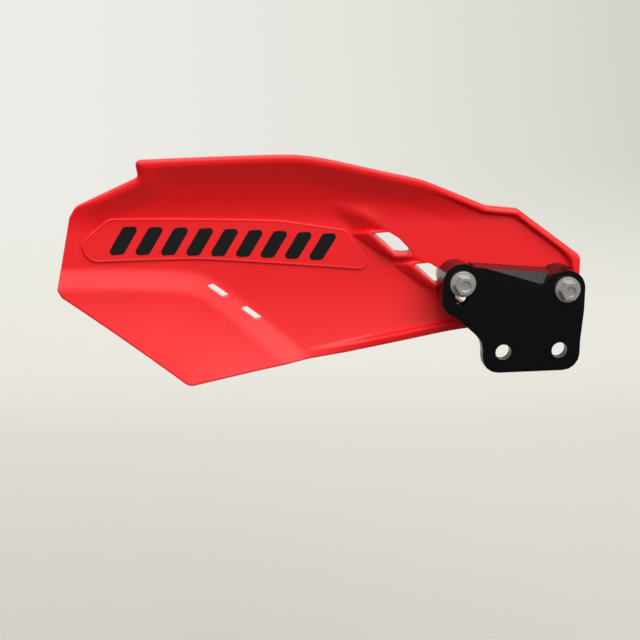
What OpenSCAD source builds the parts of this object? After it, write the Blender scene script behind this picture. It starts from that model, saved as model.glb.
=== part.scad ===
// Motorcycle hand guard, open type, left hand side, on a bracket that bolts to the lever perch.
// Millimetres. +X points inboard, +Y forward, away from the rider, and +Z up.
// The origin is the middle of the two perch holes, on the bracket's rider-side face.

/* [Shield outline, measured from the pivot] */
// Pivot to the outer tip
shield_out = 206; // [196:1:216]
// Pivot to the inboard end
shield_in = 10.2; // [9.5:0.1:14]
// Height of the top edge above the pivot
shield_top = 56; // [52:0.5:60]
// Depth of the lowest corner below the pivot
shield_drop = 37.4; // [33:0.2:41]
// Height of the outer upper corner
corner_up = 37; // [34:0.5:40]
// Pivot to the step in the top edge
notch_out = 173; // [165:1:180]
// Height where the top edge steps up
notch_up = 49; // [45:0.5:51]
// Pivot to the lowest corner
corner_out = 155.4; // [148:0.2:162]

/* [Shield form] */
// Wall, measured along Y
wall = 3; // [2.4:0.1:4]
// How far the seat on the bracket lies in front of the rider-side face
seat_y = 15.5; // [12:0.5:20]
// How far the main panel lies in front of the seat
belly = 5; // [3:0.5:7]
// Pivot to the crown of the main panel
crown_out = 108; // [100:1:116]
// Radius of the wrap around the hand, seen from above
wrap_r = 320; // [280:5:400]
// Height of the crease under the visor
visor_up = 33.5; // [31:0.5:36]
// Lean of the visor toward the rider
visor_lean = 23; // [14:1:28]
// Step of the lower facet toward the rider
facet_step = 4.5; // [2:0.5:6]
// Radius of the bowl below the panel
bowl_r = 150; // [120:5:250]
// Width of the slope up to the mounting seat
ramp_w = 6; // [5:0.5:8]
// Height of the rolled lip
lip_h = 2.6; // [1:0.2:4]
// Width of the rolled lip
lip_w = 3.2; // [2.6:0.2:4.4]
// Length of mesh steps along the edge
step_len = 5.4; // [4.6:0.2:8]

/* [Shield openings and panel] */
// Vent pitch outward
vent_dx = 17.3; // [16.5:0.1:18]
// Vent pitch downward
vent_dz = 13.5; // [13:0.1:14.5]
// Wall of the frames around the vents
frame_t = 1.2; // [0.8:0.1:1.6]
// Run of the slope outboard of each frame
slope_out = 8.3; // [5:0.1:9]
// Tip of the shield to the outer end of the raised panel
panel_gap = 9.6; // [7:0.2:14]
// Pivot to the inboard end of the panel
panel_in = 77; // [74:0.5:80]
// Height of the panel above the sheet
panel_h = 0.8; // [0.4:0.1:1.2]
// Number of bars in the panel
bars = 9; // [5:1:11]
// Width of each bar
bar_w = 6.5; // [4:0.5:8]
// Height of each bar
bar_h = 11; // [8:0.5:12]
// Depth of the bars in the sheet, under the panel
bar_sink = 0.3; // [0.2:0.05:0.6]
// Height of the bars above the panel
bar_out = 0.15; // [0.05:0.05:0.3]

/* [Bracket] */
// Distance of the slot bolt from the pivot
bolt_span = 44.35; // [40:0.05:48]
// Wall of the outer lobe
lobe_wall = 2; // [1.6:0.1:2.2]
// Tilt of the line between the two bolts
bolt_tilt = 4.8; // [0:0.2:8]
// Travel of the slot bolt
travel = 8; // [5:0.5:8.5]
// Radius of the outer lobe
lobe_r = 8.2; // [7.6:0.1:9]
// Radius of the pivot lobe
pivot_lobe_r = 7.8; // [7.2:0.1:8.4]
// Draft of the moulded sides, in all
draft = 1.2; // [0.4:0.1:1.6]
// Thickness of the mounting plate
plate_t = 4; // [3:0.5:6]
// Pivot to the perch holes, along X
perch_dx = 14; // [12:0.5:16]
// Pivot to the perch holes, down
perch_drop = 26; // [25:0.5:30]
// Spacing of the two perch holes
perch_pitch = 24; // [20:0.5:26]
// Bore of the perch holes
perch_d = 6.6; // [5.5:0.1:7]
// Edge around the perch holes
perch_edge = 5.5; // [4.5:0.5:7]

/* [Bolts] */
// Shank of the two bolts
bolt_d = 5; // [4:0.5:5]
// Flange under the hex heads
flange_d = 10.6; // [9.5:0.1:11]
// Thickness of the flange
flange_t = 1.4; // [1:0.1:2]
// Hex head across its flats
hex_af = 7; // [6:0.5:8]
// Height of the hex head
hex_h = 3.6; // [2.5:0.1:5]
// Nut across its flats
nut_af = 8; // [7:0.5:9]
// Height of the nut
nut_h = 5; // [4:0.2:6]
// Washer diameter
washer_d = 12; // [10:0.5:13]
// Washer thickness
washer_t = 1; // [0.8:0.1:1.6]
// Wall of the steel bushes in the shield
bush_wall = 1.2; // [0.8:0.1:1.6]
// Boss around each bush, on the outer face
boss_d = 14; // [13:0.5:15]
// Height of that boss
boss_h = 1.5; // [1:0.5:3]

/* [Hidden] */

run_gap = 0.08;      // radial running clearance of the pivot bolt
slot_gap = 0.2;      // clearance of the slot bolt, each side
seat_gap = 0.02;     // between the pieces of the guard that touch
bush_gap = 0.05;     // radial clearance of a bolt in its bush
spot_gap = 0.5;      // spot face around a washer
thread_out = 2;      // bolt end past its nut
bush_r = bolt_d / 2 + bush_gap + bush_wall;
front_y = seat_y + wall + boss_h;
bolt_u = -bolt_span * cos(bolt_tilt);
bolt_w = bolt_span * sin(bolt_tilt);
slot_r = bolt_d / 2 + slot_gap;
sleeve_r = bolt_d / 2 + 1.4;
low_tilt = bolt_tilt - travel;
crown_y = seat_y + belly;

// Fillets the corners of an open or closed path of [x, z, radius] points.
function unit(v) = v / norm(v);
function corner(a, p, b) =
    let (r = p[2], u = unit([a[0] - p[0], a[1] - p[1]]), w = unit([b[0] - p[0], b[1] - p[1]]),
         half = acos(max(-1, min(1, u * w))) / 2, c = [p[0], p[1]] + unit(u + w) * r / sin(half),
         s = [p[0], p[1]] + u * r / tan(half) - c, e = [p[0], p[1]] + w * r / tan(half) - c,
         a0 = atan2(s[1], s[0]), turn = atan2(s[0] * e[1] - s[1] * e[0], s * e),
         n = max(2, ceil(abs(turn) / 25)))
    [for (i = [0:n]) c + r * [cos(a0 + turn * i / n), sin(a0 + turn * i / n)]];
function rounded(pts, closed = true) =
    let (n = len(pts))
    [for (i = [0:n - 1]) let (p = pts[i])
        each (p[2] == 0 || (!closed && (i == 0 || i == n - 1))) ? [[p[0], p[1]]]
            : corner(pts[(i + n - 1) % n], p, pts[(i + 1) % n])];

// Length along a path up to each of its points, and the point at a given length.
function lengths(path, i = 0, sum = 0) =
    i == len(path) - 1 ? [sum] : concat([sum], lengths(path, i + 1, sum + norm(path[i + 1] - path[i])));
function at(path, lens, s, i = 0) =
    (i >= len(path) - 2 || lens[i + 1] >= s)
        ? path[i] + (path[i + 1] - path[i]) * (s - lens[i]) / (lens[i + 1] - lens[i])
        : at(path, lens, s, i + 1);

// Form of the shield's inner face: y over (u, w), both measured from the pivot.
function smooth(t) = let (k = max(0, min(1, t))) k * k * (3 - 2 * k);
function soft(d, r) = d <= -r ? 0 : d >= r ? d : (d + r) * (d + r) / 4 / r;   // a bend of reach r
function side(p, a, b) = ((p[1] - a[1]) * (b[0] - a[0]) - (p[0] - a[0]) * (b[1] - a[1])) / norm(b - a);
inner_flat = 1500;            // plan radius between crown and seat
crease_r = 7;                 // reach of the bend under the visor, and of the bend into the bowl
bowl_bend = 6;
ramp_a = [-93, 31];           // foot of the slope up to the seat
ramp_b = [-61, 3];
facet_a = [-147.5, 8];        // upper edge of the lower facet, along the two slots
facet_b = [-117, -20];
band_slope = 0.08;            // fall of that edge outboard of the slots
bowl_w = 6;                   // height where the bowl starts
seat_from = -98;              // where the visor starts to lean in toward the seat
seat_run = 29;
function plan_y(u) = let (d = u + crown_out) crown_y - d * d / 2 / (d < 0 ? wrap_r : inner_flat);
function seat_share(u, w) =
    let (m = smooth((w - visor_up + 7.5) / 10))
    smooth(side([u, w], ramp_a, ramp_b) / ramp_w) * (1 - m) + smooth((u - seat_from) / seat_run) * m;
function facet_share(u, w) =
    smooth(min(facet_a[1] - band_slope * (u - facet_a[0]) - w, -side([u, w], facet_a, facet_b)) / facet_step);
function inner_y(u, w) =
    let (k = seat_share(u, w))
    plan_y(u) * (1 - k) + seat_y * k
    - tan(visor_lean) * soft(w - visor_up, crease_r)
    - pow(soft(bowl_w - w, bowl_bend), 2) / 2 / bowl_r * (1 - k)
    - facet_step * facet_share(u, w);

// The two long edges of the shield, both from the outer end to the inboard end.
upper_edge = rounded([
    [-shield_out + 5.9, corner_up - 3.4, 0], [-shield_out + 8.4, corner_up + 0.9, 5],
    [-notch_out - 0.4, notch_up - 0.4, 2], [-notch_out - 0.6, shield_top, 1.2], [-108, shield_top, 80],
    [-60, shield_top - 10.8, 60], [-31.5, 33, 8], [-18, 31.4, 2.5],
    [shield_in - 1, 11.4, 1], [shield_in, 9.6, 0]], false);
lower_edge = rounded([
    [-shield_out, 5.4, 0], [-shield_out + 1.7, 2.2, 1.5], [-corner_out, -shield_drop, 5],
    [-90, -28.3, 100], [-45, -20.4, 40], [-4, -15.5, 10], [shield_in - 2.5, -8.5, 2],
    [shield_in, -5, 0]], false);
upper_len = lengths(upper_edge);
lower_len = lengths(lower_edge);

// Length at which a path comes nearest to a point.
function foot(a, b, p) = max(0, min(1, (p - a) * (b - a) / ((b - a) * (b - a)))) * norm(b - a);
function near(path, lens, p) =
    let (c = [for (i = [0:len(path) - 2])
            let (f = foot(path[i], path[i + 1], p)) [norm(path[i] + unit(path[i + 1] - path[i]) * f - p), lens[i] + f]],
         m = min([for (e = c) e[0]]))
    [for (e = c) if (e[0] == m) e[1]][0];
// Points of the upper edge and the points of the lower edge that the mesh columns join them to.
links = [
    [[-shield_out + 9, corner_up + 1], [-shield_out + 4, 0]],
    [[-notch_out - 0.4, notch_up - 0.4], [-150, -38]],
    [[-notch_out - 0.6, shield_top], [-136, -36]],
    [[-108, shield_top], [-86, -28]],
    [[-60, shield_top - 12], [-55, -22]],
    [[-31.5, 33], [-30, -19]],
    [[-18, 31.4], [-14, -17]]];
joined = concat([[0, 0]],
    [for (k = links) [near(upper_edge, upper_len, k[0]), near(lower_edge, lower_len, k[1])]],
    [[upper_len[len(upper_len) - 1], lower_len[len(lower_len) - 1]]]);
swapped = [for (k = joined) [k[1], k[0]]];

// Stations along the upper edge: corner points of both edges, and steps between them.
function sorted(v) = len(v) < 2 ? v
    : let (m = v[floor(len(v) / 2)])
      concat(sorted([for (e = v) if (e < m) e]), [m], sorted([for (e = v) if (e > m) e]));
function thinned(v, gap, i = 1, last = 0) = i == len(v) - 1 ? [v[i]]
    : v[i] - last >= gap && v[len(v) - 1] - v[i] >= gap ? concat([v[i]], thinned(v, gap, i + 1, v[i]))
    : thinned(v, gap, i + 1, last);
min_step = 0.55;
knots = concat([0], thinned(sorted(concat(upper_len, [for (l = lower_len) lookup(l, swapped)])), min_step));
stations = concat(
    [for (i = [0:len(knots) - 2])
        let (n = max(1, round((knots[i + 1] - knots[i]) / step_len)))
        for (k = [0:n - 1]) knots[i] + (knots[i + 1] - knots[i]) * k / n],
    [knots[len(knots) - 1]]);
edge_rows = [[0, 0.7], [0.8, 1], [lip_w - 0.9, 0.95], [lip_w + 0.4, 0.1]];  // distance in, share of the lip
spans = [4, 3, 5, 3, 2, 5];   // rows in the facet, its step, the panel, the ramp, the seat and the visor
min_span = 0.8;

// Where a column that starts at b and runs along dir crosses the line from p to q.
function crossing(b, dir, p, q) =
    let (s0 = side(b, p, q), s1 = side(b + dir, p, q)) s0 / (s0 - s1);
function level(w) = [[-300, w], [0, w]];
band_out = facet_a + [-60, 60 * band_slope];
down = facet_step * unit([facet_b[1] - facet_a[1], facet_a[0] - facet_b[0]]);
across = ramp_w * unit([ramp_a[1] - ramp_b[1], ramp_b[0] - ramp_a[0]]);
function creases(b, dir) = [
    min(crossing(b, dir, band_out - [0, facet_step], facet_a - [0, facet_step]),
        crossing(b, dir, facet_a + down, facet_b + down)),
    min(crossing(b, dir, band_out, facet_a), crossing(b, dir, facet_a, facet_b)),
    crossing(b, dir, ramp_a, ramp_b),
    crossing(b, dir, ramp_a + across, ramp_b + across),
    crossing(b, dir, level(visor_up - crease_r)[0], level(visor_up - crease_r)[1])];
// The creases, kept in order and apart, between the two lips.
function ordered(ts, lo, hi, gap, i = 4) =
    i < 0 ? []
        : let (t = min(max(ts[i], lo + (i + 1) * gap), hi - gap)) concat(ordered(ts, lo, t, gap, i - 1), [t]);

// Share of the lip along the lower edge: none outboard, full toward the bracket.
lip_from = -115;
lip_run = 30;
function lower_lip(u) = smooth((u - lip_from) / lip_run);
function column(s) =
    let (t = at(upper_edge, upper_len, s), b = at(lower_edge, lower_len, lookup(s, joined)),
         t2 = at(upper_edge, upper_len, min(knots[len(knots) - 1], s + lip_w)),
         t1 = at(upper_edge, upper_len, max(0, s - lip_w)),
         d = t - b, tall = norm(d), along = unit(t2 - t1), dir = d / tall,
         lean = max(0.45, abs(along[0] * dir[1] - along[1] * dir[0])),
         f = min(1, tall / 24), lo = (lip_w + 0.4) * f, hi = tall - lo / lean,
         marks = concat([lo], ordered(creases(b, dir), lo, hi, min_span * f), [hi]))
    [for (e = edge_rows) [b + dir * e[0] * f, e[1] * lower_lip(b[0])],
     for (i = [0:5]) for (k = [1:spans[i]])
         if (i < 5 || k < spans[i]) [b + dir * (marks[i] + (marks[i + 1] - marks[i]) * k / spans[i]), 0],
     for (i = [len(edge_rows) - 1:-1:0]) [t - dir * edge_rows[i][0] * f / lean, edge_rows[i][1] * f]];
grid = [for (s = stations) each column(s)];
rows = len(grid) / len(stations);
inner_pts = [for (g = grid) [g[0][0], inner_y(g[0][0], g[0][1]) - lip_h * g[1], g[0][1]]];
outer_pts = [for (g = grid) [g[0][0], inner_y(g[0][0], g[0][1]) + wall, g[0][1]]];

module shield_sheet() {
    n = len(stations);
    m = rows;
    o = n * m;
    quads = [for (i = [0:n - 2]) for (j = [0:m - 2]) [i * m + j, i * m + j + 1, (i + 1) * m + j + 1, (i + 1) * m + j]];
    faces = concat(
        [for (q = quads) each [[q[0], q[1], q[3]], [q[1], q[2], q[3]]]],
        [for (q = quads) each [[o + q[3], o + q[1], o + q[0]], [o + q[3], o + q[2], o + q[1]]]],
        [for (i = [0:n - 2]) let (a = i * m, b = (i + 1) * m) each [[a, b, o + b], [a, o + b, o + a]]],
        [for (i = [0:n - 2]) let (a = i * m + m - 1, b = a + m) each [[b, a, o + a], [b, o + a, o + b]]],
        [for (j = [0:m - 2]) each [[j + 1, j, o + j], [j + 1, o + j, o + j + 1]]],
        [for (j = [0:m - 2]) let (a = (n - 1) * m + j) each [[a, a + 1, o + a + 1], [a, o + a + 1, o + a]]]);
    polyhedron(concat(inner_pts, outer_pts), faces, convexity = 8);
}

// Extrudes a (u, w) outline forward from y0 to y1.
module along_y(y0, y1) {
    translate([0, y1, 0]) rotate([90, 0, 0]) linear_extrude(y1 - y0) children();
}
module bore(r, y0, y1) {
    translate([0, y1, 0]) rotate([90, 0, 0]) cylinder(r = r, h = y1 - y0, $fn = 48);
}
module at_pivot() { translate([perch_dx, 0, perch_drop]) children(); }
module at_slot_bolt() { at_pivot() translate([bolt_u, 0, bolt_w]) children(); }

vent = [[-79.5, 22.3, 0.8], [-71.8, 22.8, 2], [-67.4, 20, 2], [-60.8, 13, 0.8], [-69, 13, 1]];
vent_far = [[-77.6, 22.3, 0.8], [-71.8, 22.8, 2], [-67.4, 20, 2], [-62.6, 14.8, 0.8], [-68.4, 14.8, 1]];
vents = 3;
skin = 0.1;           // thickness of the outlines that a draughted form is drawn between
slot_a = [[-147.2, 2.3, 0.6], [-144.3, 2.9, 0.6], [-137.2, -2.6, 0.6], [-140.4, -3, 0.6]];
slot_pitch = [13.7, -10.2];
panel_out = panel_gap - shield_out;
panel_len = -panel_in - panel_out;
panel = [[panel_out + 2.4, 15.2, 3], [panel_out, 23.4, 3], [panel_out + 11.2, 32.3, 6],
    [panel_out + 0.67 * panel_len, 28.2, 60], [-panel_in - 12, 23.6, 3], [-panel_in, 5.8, 3],
    [panel_out + 0.67 * panel_len, 9.7, 100], [panel_out + 0.39 * panel_len, 13.2, 100]];
bar_first = panel_out + 13.4;       // left end of the first bar, its middle height, and of the last bar
bar_up = 23;
bar_last = -panel_in - 25;
bar_fall = 0.078;     // fall of the row of bars, along with the panel
bar_slant = 3.4;      // half the slant of a bar
bar_pitch = (bar_last - bar_first) / (bars - 1);
bar_r = 1.5;
bar_room = 0.03;      // room around a bar in its pocket
frame_dip = 0.1;      // the vents' frames end just short of the seat, clear of the bracket
strip_steps = 16;     // chords in the curve of the bars
shave = 30;           // reach of a cut past the sheet, each way

module draughted(y0, y1, near, far) {
    hull() {
        along_y(y0, y0 + skin) polygon(near);
        along_y(y1 - skin, y1) polygon(far);
    }
}
module at_vent(i) { at_pivot() translate([i * vent_dx, 0, -i * vent_dz]) children(); }
module frame() {
    // the wall around a vent, from the seat's level down to the sheet, with a long slope on its outboard side
    corner = vent[4];
    end = vent[3];
    draughted(seat_y + frame_dip, crown_y + 0.5,
        [[vent[0][0] - 1.1, vent[0][1] + 0.3], [vent[0][0] - frame_t * 0.65, vent[0][1] - frame_t * 0.6],
            [corner[0] - 0.4, corner[1] - frame_t], [end[0] + 0.8, end[1] - frame_t], [end[0] + 0.2, end[1] + 0.2],
            [vent[1][0], vent[1][1] + 1], [vent[0][0] - 0.1, vent[0][1] + 1.3]],
        [[vent[0][0] - slope_out, vent[0][1] - 0.7], [corner[0] - 0.9 * slope_out, corner[1] + 0.4],
            [corner[0] - 0.6, corner[1] - 2 * frame_t], [end[0] + 1.4, end[1] - 2 * frame_t],
            [end[0] + 0.2, end[1] + 0.2], [vent[1][0], vent[1][1] + 1.4], [vent[0][0] - 1.1, vent[0][1] + 2.7]]);
}
module boss() {
    // rises from inside the sheet and tapers toward the front
    hull() {
        bore(boss_d / 2, seat_y + wall / 2, front_y - boss_h / 2);
        bore(boss_d / 2 - boss_h / 2, seat_y, front_y);
    }
}
module bolt_seat() {
    // bore for the bush, and a spot face under the washer
    bore(bush_r + seat_gap, 0, shave);
    bore(washer_d / 2 + spot_gap, front_y, shave);
}
module panel_strip(y_in, thick) {
    // a strip that follows the panel's curve seen from above
    us = [for (i = [0:strip_steps]) panel_out + panel_len * i / strip_steps];
    path = concat([for (u = us) [u, plan_y(u) + y_in]],
        [for (i = [len(us) - 1:-1:0]) [us[i], plan_y(us[i]) + y_in + thick]]);
    linear_extrude(shield_top) polygon(path);
}

module shield() {
    color([0.86, 0.09, 0.11])
    difference() {
        union() {
            difference() {
                union() {
                    at_pivot() shield_sheet();
                    at_pivot() intersection() {
                        translate([0, -panel_h, 0]) shield_sheet();
                        along_y(-shave, shave) polygon(rounded(panel));
                    }
                    for (i = [0:vents - 1]) at_vent(i) frame();
                }
                for (i = [0:vents - 1])
                    at_vent(i) draughted(seat_y - 1, crown_y + wall + 1, rounded(vent), rounded(vent_far));
            }
            at_pivot() boss();
            at_slot_bolt() boss();
        }
        for (i = [0:1])
            at_pivot() translate([i * slot_pitch[0], 0, i * slot_pitch[1]])
                along_y(-shave, shave) polygon(rounded(slot_a));
        at_pivot() for (i = [0:bars - 1])
            intersection() {
                panel_strip(-shave, shave + bar_sink);
                along_y(-shave, shave) bar_shape(i, bar_room);
            }
        at_pivot() bolt_seat();
        at_slot_bolt() bolt_seat();
    }
}

module bar_shape(i, grow) {
    // outline of one slanted bar, grown on all sides
    u = bar_first + i * bar_pitch;
    translate([u, bar_up - bar_fall * (u - bar_first)]) offset(delta = grow)
        polygon(rounded([[-bar_slant, -bar_h / 2, bar_r], [-bar_slant + bar_w, -bar_h / 2, bar_r],
            [bar_slant + bar_w, bar_h / 2, bar_r], [bar_slant, bar_h / 2, bar_r]]));
}
module inlay_bars() {
    color([0.05, 0.05, 0.055])
    at_pivot()
    for (i = [0:bars - 1])
        intersection() {
            panel_strip(-panel_h - bar_out, panel_h + bar_out + bar_sink - seat_gap);
            along_y(-shave, shave) bar_shape(i, 0);
        }
}

module arc_slot(y0, y1) {
    translate([0, y1, 0]) rotate([90, 0, 0]) rotate([0, 0, 180 - bolt_tilt])
        rotate_extrude(angle = travel, $fn = 96)
            translate([bolt_span - slot_r, 0]) square([2 * slot_r, y1 - y0]);
    for (t = [bolt_tilt, low_tilt])
        rotate([0, t, 0]) translate([-bolt_span, 0, 0]) bore(slot_r, y0, y1);
}
module bracket_face() {
    // outline of the rider-side face, with its foot at the perch
    left = bolt_u - lobe_r;
    foot = -perch_drop - perch_edge - perch_d / 2;
    foot_out = -perch_dx - perch_pitch / 2 - perch_edge - perch_d / 2;
    foot_in = -perch_dx + perch_pitch / 2 + perch_edge + perch_d / 2;
    polygon(rounded([[left + 0.2, bolt_w + lobe_r, lobe_r - 0.2], [bolt_u + lobe_r + 1, bolt_w + lobe_r - 2, 12],
        [-10, 2.1, 2], [-6.5, pivot_lobe_r - 1, 3], [pivot_lobe_r, pivot_lobe_r - 0.2, 7],
        [pivot_lobe_r, -9, 6], [foot_in, -perch_drop + 4, 5], [foot_in, foot, 7],
        [foot_out, foot, 7], [foot_out, -perch_drop + 5, 8], [left, -5, 9]]));
}
module bracket() {
    color([0.06, 0.06, 0.06])
    at_pivot()
    difference() {
        union() {
            along_y(0, plate_t) bracket_face();
            bore(pivot_lobe_r, 0, seat_y);
            hull() {
                rotate([0, bolt_tilt, 0]) translate([-bolt_span, 0, 0]) lobe_cone();
                rotate([0, low_tilt, 0]) translate([-bolt_span, 0, 0]) lobe_cone();
            }
            web();
        }
        bore(bolt_d / 2 + run_gap, -1, seat_y + 1);
        arc_slot(-1, plate_t + 1);
        lobe_room();
        for (t = [0:marks - 1])
            rotate([0, bolt_tilt - t * travel / (marks - 1), 0])
                translate([-bolt_span - lobe_r + mark_edge, -1, -mark_w / 2]) cube([mark_len, 1 + mark_deep, mark_w]);
        for (s = [-1, 1])
            translate([-perch_dx + s * perch_pitch / 2, 0, -perch_drop]) bore(perch_d / 2, -1, plate_t + 1);
    }
}
marks = 3;            // scale marks beside the slot, from rest to full travel
mark_edge = 1.2;      // edge of the lobe to a mark
mark_len = 2.4;
mark_w = 0.4;
mark_deep = 0.35;
ledge_y = 5.5;        // where the web's top starts to slope
module lobe_room() {
    // the lobe is a wall around its slot, open below
    r = lobe_r - draft - lobe_wall;
    along_y(plate_t, seat_y + 1) hull() {
        translate([bolt_u, bolt_w]) circle(r, $fn = 32);
        translate([-bolt_span * cos(low_tilt), bolt_span * sin(low_tilt)]) circle(r, $fn = 32);
        translate([bolt_u + 8, bolt_w - 20]) circle(r, $fn = 32);
    }
}
module slot_sleeve() {
    color([0.62, 0.62, 0.64])
    at_slot_bolt()
    difference() {
        bore(sleeve_r, plate_t, seat_y - seat_gap);
        bore(bolt_d / 2 + bush_gap, 0, seat_y);
    }
}
module lobe_cone() {
    translate([0, seat_y, 0]) rotate([90, 0, 0])
        cylinder(r1 = lobe_r - draft, r2 = lobe_r, h = seat_y, $fn = 48);
}
module web() {
    // level on top next to the shield, then sloping down to the edge of the rider-side face
    hull() {
        along_y(1, 2) polygon([[bolt_u + 8, 9.6], [-9, 2], [-5, -6], [bolt_u + 6, -8]]);
        along_y(ledge_y, ledge_y + skin) polygon([[bolt_u + 12, 9], [-3, 5.8], [-3, -5.5], [bolt_u + 6, -5]]);
        along_y(seat_y - 1, seat_y) polygon([[bolt_u + 6, 9.2], [-3, 5.9], [-3, -5.5], [bolt_u + 6, -5]]);
    }
}

module hex_bolt(end_y) {
    color([0.48, 0.47, 0.48]) {
        bore(bolt_d / 2, 0, end_y);
        bore(flange_d / 2, -flange_t, 0);
        difference() {
            translate([0, -flange_t, 0]) rotate([90, 0, 0])
                cylinder(r = hex_af / 2 / cos(30), h = hex_h, $fn = 6);
            bore(2.1, -flange_t - hex_h - 1, -flange_t - hex_h + 0.7);
        }
    }
}
bolt_end = front_y + washer_t + nut_h + thread_out;
module pivot_bolt() { at_pivot() hex_bolt(bolt_end); }
module slot_bolt() { at_slot_bolt() hex_bolt(bolt_end); }

module bush() {
    color([0.62, 0.62, 0.64])
    difference() {
        bore(bush_r, seat_y + seat_gap, front_y);
        bore(bolt_d / 2 + bush_gap, 0, front_y + 1);
    }
}
module pivot_bush() { at_pivot() bush(); }
module slot_bush() { at_slot_bolt() bush(); }

module washer() {
    color([0.7, 0.7, 0.72])
    difference() {
        bore(washer_d / 2, front_y + seat_gap, front_y + washer_t);
        bore(bolt_d / 2 + bush_gap, 0, front_y + washer_t + 1);
    }
}
module pivot_washer() { at_pivot() washer(); }
module slot_washer() { at_slot_bolt() washer(); }

module nut() {
    color([0.6, 0.6, 0.62])
    difference() {
        translate([0, front_y + washer_t + nut_h, 0]) rotate([90, 0, 0])
            cylinder(r = nut_af / 2 / cos(30), h = nut_h - seat_gap, $fn = 6);
        bore(bolt_d / 2 + bush_gap, 0, bolt_end + 1);
    }
}
module pivot_nut() { at_pivot() nut(); }
module slot_nut() { at_slot_bolt() nut(); }

shield();
inlay_bars();
bracket();
slot_sleeve();
pivot_bolt();
slot_bolt();
pivot_bush();
slot_bush();
pivot_washer();
slot_washer();
pivot_nut();
slot_nut();
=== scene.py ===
"""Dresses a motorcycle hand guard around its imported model, and sets it in a plain studio."""

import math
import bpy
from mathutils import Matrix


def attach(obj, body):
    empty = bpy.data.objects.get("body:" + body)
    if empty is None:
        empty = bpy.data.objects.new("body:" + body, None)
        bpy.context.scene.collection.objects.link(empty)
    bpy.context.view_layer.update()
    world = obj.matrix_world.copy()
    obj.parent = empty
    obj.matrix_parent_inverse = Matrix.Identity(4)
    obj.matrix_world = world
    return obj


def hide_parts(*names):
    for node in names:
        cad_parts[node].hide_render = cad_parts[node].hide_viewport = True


bl_info = {
    "name": "Hand guard",
    "version": (1, 0, 0),
    "blender": (4, 5, 0),
    "location": "3D View > Sidebar > Hand guard",
    "description": "Makes the moulded shield, its panel, the bracket and the fasteners of a hand guard",
    "category": "Object",
}

import bpy
import numpy as np
from mathutils import Vector

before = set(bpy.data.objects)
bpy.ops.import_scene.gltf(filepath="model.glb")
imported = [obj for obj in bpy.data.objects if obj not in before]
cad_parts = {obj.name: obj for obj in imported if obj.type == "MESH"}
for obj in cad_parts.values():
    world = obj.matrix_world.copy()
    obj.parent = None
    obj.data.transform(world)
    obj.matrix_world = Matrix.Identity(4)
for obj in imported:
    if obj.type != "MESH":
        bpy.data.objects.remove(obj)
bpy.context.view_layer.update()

MM = 0.001
PIVOT = (14.0, 26.0)  # the pivot bolt, inboard of and above the middle of the perch holes, in mm


def number(name, default, about, **settings):
    return bpy.props.FloatProperty(name=name, description=about, default=default, **settings)


def length(name, default_mm, about):
    return number(name, default_mm * MM, about, unit="LENGTH", precision=4)


def vector(name, default, about, **settings):
    return bpy.props.FloatVectorProperty(name=name, description=about, default=default, **settings)


def colour(name, code, about):
    return vector(name, hex_colour(code), about, size=4, subtype="COLOR", min=0, max=1)


def hex_colour(code):
    """An sRGB hex value as the linear colour that a shader takes."""
    parts = [int(code[i : i + 2], 16) / 255 for i in (0, 2, 4)]
    return tuple(c / 12.92 if c <= 0.04045 else ((c + 0.055) / 1.055) ** 2.4 for c in parts) + (1.0,)


class ShieldSizes(bpy.types.PropertyGroup):
    """The moulded shield. Lengths in the outline are measured from the pivot."""

    tip: length("Tip", 206, "Pivot to the outer tip")
    inboard: length("Inboard end", 10.2, "Pivot to the inboard end")
    top: length("Top edge", 56, "Height of the top edge above the pivot")
    drop: length("Lowest corner", 37.4, "Depth of the lowest corner below the pivot")
    corner_up: length("Outer upper corner", 37, "Height of the outer upper corner")
    notch_out: length("Notch", 173, "Pivot to the step in the top edge")
    notch_up: length("Notch height", 49, "Height where the top edge steps up")
    corner_out: length("Lowest corner, outward", 155.4, "Pivot to the lowest corner")
    wall: length("Wall", 3, "Wall, measured along Y")
    seat_y: length("Seat", 15.5, "How far the seat lies in front of the bracket's rider-side face")
    belly: length("Belly", 5, "How far the main panel lies in front of the seat")
    crown_out: length("Crown", 108, "Pivot to the crown of the main panel")
    wrap_r: length("Wrap", 320, "Radius of the wrap around the hand, seen from above")
    visor_up: length("Visor", 33.5, "Height of the crease under the visor")
    visor_lean: number("Visor lean", math.radians(23), "Lean toward the rider", subtype="ANGLE")
    facet_step: length("Facet step", 4.5, "Step of the lower facet toward the rider")
    bowl_r: length("Bowl", 150, "Radius of the bowl below the panel")
    ramp_w: length("Ramp", 9.5, "Width of the slope up to the mounting seat")
    lip_h: length("Lip height", 2.4, "Height of the rolled lip")
    lip_w: length("Lip width", 3.8, "Width of the rolled lip with its fillet")
    rim_r: length("Rim", 0.75, "Rounding of the shield's rim")
    frame_t: length("Vent frame", 1.2, "Wall of the frames around the vents")
    slope_out: length("Frame slope", 8.3, "Run of the slope outboard of each vent frame")
    panel_gap: length("Panel gap", 9.6, "Tip to the outer end of the raised panel")
    panel_in: length("Panel, inboard", 77, "Pivot to the inboard end of the panel")
    panel_h: length("Panel height", 0.8, "Height of the panel above the sheet")
    bar_w: length("Bar width", 6.5, "Width of each bar of the panel")
    bar_h: length("Bar height", 11, "Height of each bar of the panel")
    bar_out: length("Bar rise", 0.15, "Height of the bars above the panel")
    bars: bpy.props.IntProperty(name="Bars", description="Number of bars on the panel", default=9, min=1)


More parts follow.
